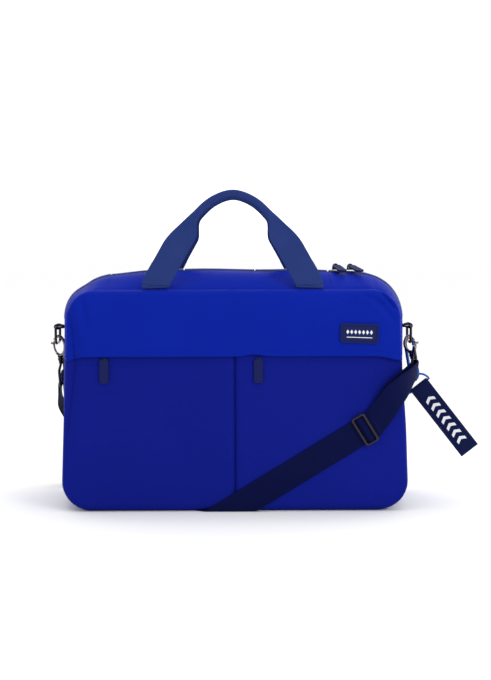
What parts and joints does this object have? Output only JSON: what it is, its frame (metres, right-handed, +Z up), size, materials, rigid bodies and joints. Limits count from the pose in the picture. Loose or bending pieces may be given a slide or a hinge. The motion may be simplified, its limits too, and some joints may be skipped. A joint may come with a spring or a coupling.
{
  "type": "laptop briefcase",
  "caption": "Soft laptop briefcase: zip top, front zip pockets, webbing handles, clipped shoulder strap and a tag on a carabiner.",
  "frame": {"origin": "middle of the flat base, on the surface the bag stands on", "axes": "+Z up, -Y towards the front with the two zip pockets, +X to the right seen from the front"},
  "size_m": [0.5327, 0.2052, 0.383],
  "materials": {
    "nylon": "satin coated nylon, ultramarine",
    "nylon_dark": "satin coated nylon, deeper ultramarine",
    "lining": "plain woven lining",
    "handle_webbing": "ribbed webbing, lighter navy",
    "strap_webbing": "ribbed webbing, dark navy",
    "tag_webbing": "fine flat webbing, navy",
    "rubber": "moulded matte rubber, navy",
    "zip": "coil zip on woven tape",
    "gunmetal": "polished black nickel",
    "blue_metal": "blue anodised",
    "board": "stiffening board"
  },
  "bodies": {
    "bag": {"front_panel": "lining", "back_panel": "nylon", "bottom_gusset": "nylon_dark", "side_gusset_right": "nylon", "side_gusset_left": "nylon", "top_corner_right": "nylon", "top_corner_left": "nylon", "base_board": "board", "laptop_divider": "lining", "upper_front_panel": "nylon", "pocket_panel_left": "nylon_dark", "pocket_panel_right": "nylon_dark", "pocket_zip_left": "zip", "pocket_zip_right": "zip", "luggage_sleeve": "nylon", "zip_end_right": "zip", "zip_end_left": "zip", "name_patch": "rubber", "ring_tab_right": "strap_webbing", "ring_tab_left": "strap_webbing", "shoulder_strap": "strap_webbing", "strap_adjuster": "gunmetal", "swivel_eye_right": "gunmetal", "swivel_eye_left": "gunmetal"},
    "front_flap": {"top_flap_front": "nylon", "zip_chain_front": "zip"},
    "rear_flap": {"top_flap_rear": "nylon", "zip_chain_rear": "zip"},
    "closing_strap": {"laptop_strap": "strap_webbing"},
    "inner_slider": {"main_zip_inner_slider": "gunmetal"},
    "inner_pull": {"main_zip_inner_pull": "rubber"},
    "outer_slider": {"main_zip_outer_slider": "gunmetal"},
    "outer_pull": {"main_zip_outer_pull": "rubber"},
    "left_slider": {"left_pocket_slider": "gunmetal"},
    "left_pull": {"left_pocket_pull": "rubber"},
    "right_slider": {"right_pocket_slider": "gunmetal"},
    "right_pull": {"right_pocket_pull": "rubber"},
    "handle_front": {"front_handle": "handle_webbing"},
    "handle_rear": {"rear_handle": "handle_webbing"},
    "ring_right": {"side_ring_right": "gunmetal"},
    "ring_left": {"side_ring_left": "gunmetal"},
    "hook_right": {"snap_hook_right": "gunmetal"},
    "hook_left": {"snap_hook_left": "gunmetal"},
    "gate_right": {"hook_gate_right": "gunmetal"},
    "gate_left": {"hook_gate_left": "gunmetal"},
    "carabiner": {"carabiner": "blue_metal"},
    "carabiner_gate": {"carabiner_gate": "blue_metal"},
    "tag_ring": {"tag_ring": "blue_metal"},
    "tag": {"tag": "tag_webbing"}
  },
  "joints": [
    {"name": "inner_slider_run", "type": "slide", "parent": "bag", "child": "inner_slider", "axis": [-1, 0, 0], "range_m": [0, 0.27]},
    {"name": "inner_pull_lift", "type": "hinge", "parent": "inner_slider", "child": "inner_pull", "pos_m": [0.126, 0, 0.2919], "axis": [-0.8191, -0.5736, 0], "range_deg": [0, 150]},
    {"name": "outer_slider_run", "type": "slide", "parent": "bag", "child": "outer_slider", "axis": [1, 0, 0], "range_m": [0, 0.008]},
    {"name": "outer_pull_lift", "type": "hinge", "parent": "outer_slider", "child": "outer_pull", "pos_m": [0.144, 0, 0.2919], "axis": [-0.7431, -0.6691, 0], "range_deg": [0, 150]},
    {"name": "front_flap_open", "type": "hinge", "parent": "bag", "child": "front_flap", "pos_m": [0, -0.061, 0.2636], "axis": [1, 0, 0], "range_deg": [0, 50]},
    {"name": "rear_flap_open", "type": "hinge", "parent": "bag", "child": "rear_flap", "pos_m": [0, 0.061, 0.2636], "axis": [-1, 0, 0], "range_deg": [0, 50]},
    {"name": "closing_strap_lift", "type": "hinge", "parent": "bag", "child": "closing_strap", "pos_m": [0, 0.059, 0.208], "axis": [-1, 0, 0], "range_deg": [0, 90]},
    {"name": "left_slider_run", "type": "slide", "parent": "bag", "child": "left_slider", "axis": [1, 0, 0], "range_m": [0, 0.13]},
    {"name": "left_pull_lift", "type": "hinge", "parent": "left_slider", "child": "left_pull", "pos_m": [-0.151, -0.0816, 0.182], "axis": [-1, 0, 0], "range_deg": [0, 90]},
    {"name": "right_slider_run", "type": "slide", "parent": "bag", "child": "right_slider", "axis": [1, 0, 0], "range_m": [0, 0.13]},
    {"name": "right_pull_lift", "type": "hinge", "parent": "right_slider", "child": "right_pull", "pos_m": [0.03, -0.0816, 0.182], "axis": [-1, 0, 0], "range_deg": [0, 90]},
    {"name": "front_handle_fold", "type": "hinge", "parent": "bag", "child": "handle_front", "pos_m": [0, -0.064, 0.264], "axis": [1, 0, 0], "range_deg": [-13, 100]},
    {"name": "rear_handle_fold", "type": "hinge", "parent": "bag", "child": "handle_rear", "pos_m": [0, 0.064, 0.264], "axis": [-1, 0, 0], "range_deg": [-13, 100]},
    {"name": "right_ring_swing", "type": "hinge", "parent": "bag", "child": "ring_right", "pos_m": [0.217, 0, 0.2155], "axis": [0, 1, 0], "range_deg": [-2, 2]},
    {"name": "right_hook_swivel", "type": "hinge", "parent": "bag", "child": "hook_right", "pos_m": [0.217, -0.009, 0.1955], "axis": [0, -0.809, -0.5878], "range_deg": [-10, 10]},
    {"name": "right_gate_press", "type": "hinge", "parent": "hook_right", "child": "gate_right", "pos_m": [0.22155, -0.02126, 0.18659], "axis": [0, -0.5878, 0.809], "range_deg": [0, 9], "stiffness_Nm_per_rad": 0.02},
    {"name": "left_ring_swing", "type": "hinge", "parent": "bag", "child": "ring_left", "pos_m": [-0.217, 0, 0.2155], "axis": [0, -1, 0], "range_deg": [-2, 2]},
    {"name": "left_hook_swivel", "type": "hinge", "parent": "bag", "child": "hook_left", "pos_m": [-0.217, 0.008, 0.1955], "axis": [0, 0.4695, -0.8829], "range_deg": [-10, 10]},
    {"name": "left_gate_press", "type": "hinge", "parent": "hook_left", "child": "gate_left", "pos_m": [-0.22155, 0.01512, 0.18212], "axis": [0, 0.8829, 0.4695], "range_deg": [0, 9], "stiffness_Nm_per_rad": 0.02},
    {"name": "carabiner_swing", "type": "hinge", "parent": "ring_right", "child": "carabiner", "pos_m": [0.217, 0.008, 0.1977], "axis": [0, -1, 0], "range_deg": [-2, 16]},
    {"name": "carabiner_gate_press", "type": "hinge", "parent": "carabiner", "child": "carabiner_gate", "pos_m": [0.22957, 0.01489, 0.16163], "axis": [0.7555, -0.6428, 0.1264], "range_deg": [0, 18], "stiffness_Nm_per_rad": 0.02},
    {"name": "tag_ring_swing", "type": "hinge", "parent": "carabiner", "child": "tag_ring", "pos_m": [0.22608, 0.008, 0.14945], "axis": [0, -1, 0], "range_deg": [-12, 12]},
    {"name": "tag_swing", "type": "hinge", "parent": "tag_ring", "child": "tag", "pos_m": [0.2315, 0.008, 0.1395], "axis": [0.788, 0, 0.6157], "range_deg": [-40, 40]}
  ]
}
